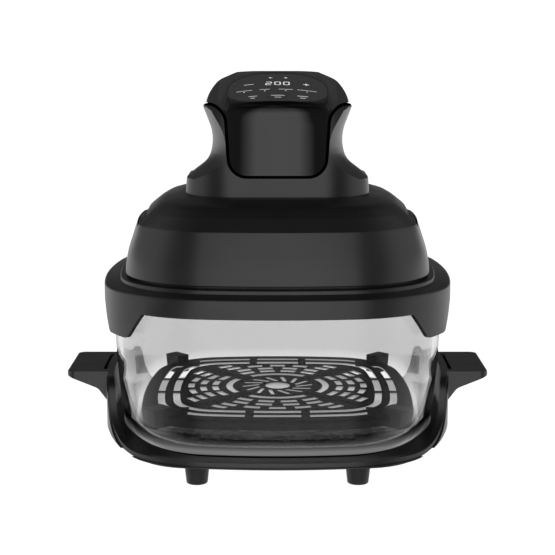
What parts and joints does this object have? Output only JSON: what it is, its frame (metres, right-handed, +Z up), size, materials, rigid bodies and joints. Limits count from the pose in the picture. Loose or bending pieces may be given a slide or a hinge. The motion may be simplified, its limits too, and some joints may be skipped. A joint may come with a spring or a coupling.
{
  "type": "glass air fryer",
  "caption": "Air fryer with a clear glass bowl in a black carrier tray and a lift-off heating head with a scooped handle and touch display.",
  "frame": {"origin": "on the floor under the middle of the four feet", "axes": "+Z up, +Y towards the rear where the cord gland is, +X to the right seen from the front, through the right carrying wing"},
  "size_m": [0.354, 0.29, 0.3252],
  "materials": {
    "satin_black_plastic": "satin moulded black plastic with a faint sheen",
    "gloss_black_plastic": "gloss moulded black plastic",
    "vent_black": "matte black plastic mesh",
    "display_window": "smoked window over the touch display",
    "bowl_glass": "clear pressed glass",
    "nonstick_coating": "dark grey non-stick coating on pressed steel",
    "black_silicone": "matte black silicone",
    "foot_rubber": "matte black rubber",
    "grey_silicone": "matte grey silicone",
    "screw_steel": "zinc plated steel",
    "coated_steel": "heat-proof grey coating on pressed steel",
    "pan_aluminium": "bright aluminised sheet",
    "coil_steel": "heat-tinted steel tube",
    "lead_insulation": "woven glass sleeve, off white",
    "cooling_fan_plastic": "matte grey-black plastic",
    "shaft_steel": "turned steel",
    "core_iron": "laminated iron, varnished",
    "bearing_brass": "sintered brass",
    "circuit_board": "green solder resist",
    "component_plastic": "dark component bodies",
    "white_nylon": "natural nylon"
  },
  "bodies": {
    "carrier": {"carrier_base": "satin_black_plastic", "foot_front_left": "foot_rubber", "foot_front_right": "foot_rubber", "foot_rear_left": "foot_rubber", "foot_rear_right": "foot_rubber", "foot_screws": "screw_steel", "rest_pads": "grey_silicone"},
    "bowl": {"glass_bowl": "bowl_glass"},
    "plate": {"crisper_plate": "nonstick_coating", "bumper_front_left": "black_silicone", "bumper_front_right": "black_silicone", "bumper_rear_left": "black_silicone", "bumper_rear_right": "black_silicone"},
    "head": {"lower_housing": "satin_black_plastic", "bowl_gasket": "grey_silicone", "head_housing": "satin_black_plastic", "housing_screws": "screw_steel", "handle_cap": "gloss_black_plastic", "display_lens": "display_window", "light_guide": "white_nylon", "display_board": "circuit_board", "display_screws": "screw_steel", "vent_grille_left": "vent_black", "vent_grille_right": "vent_black", "cord_gland": "foot_rubber", "reflector_pan": "pan_aluminium", "fan_guard": "coated_steel", "guard_screws": "screw_steel", "heater_coil": "coil_steel", "heater_clips": "coated_steel", "heater_leads": "lead_insulation", "motor_bracket": "coated_steel", "bracket_screws": "screw_steel", "motor_housing": "shaft_steel", "motor_stator": "core_iron", "bearing_lower": "bearing_brass", "bearing_upper": "bearing_brass", "power_board": "circuit_board", "board_standoffs": "white_nylon", "board_components": "component_plastic", "temperature_sensor": "coil_steel", "thermal_cutoff": "pan_aluminium", "interlock_switch": "white_nylon"},
    "rotor": {"convection_fan": "coated_steel", "fan_nut": "screw_steel", "cooling_fan": "cooling_fan_plastic", "motor_shaft": "shaft_steel", "motor_rotor": "core_iron"},
    "plunger": {"interlock_plunger": "white_nylon"}
  },
  "joints": [
    {"name": "bowl_lift", "type": "slide", "parent": "carrier", "child": "bowl", "axis": [0, 0, 1], "range_m": [0, 0.12]},
    {"name": "plate_lift", "type": "slide", "parent": "bowl", "child": "plate", "axis": [0, 0, 1], "range_m": [0, 0.08]},
    {"name": "head_lift", "type": "slide", "parent": "bowl", "child": "head", "axis": [0, 0, 1], "range_m": [0, 0.18]},
    {"name": "fan_spin", "type": "hinge", "parent": "head", "child": "rotor", "pos_m": [0, 0, 0.1975], "axis": [0, 0, 1], "continuous": true},
    {"name": "interlock_plunger", "type": "slide", "parent": "head", "child": "plunger", "axis": [0, 0, 1], "range_m": [-0.003, 0]}
  ],
  "couplings": [
    {"joint": "interlock_plunger", "follows": "head_lift", "ratio": -0.016667}
  ]
}
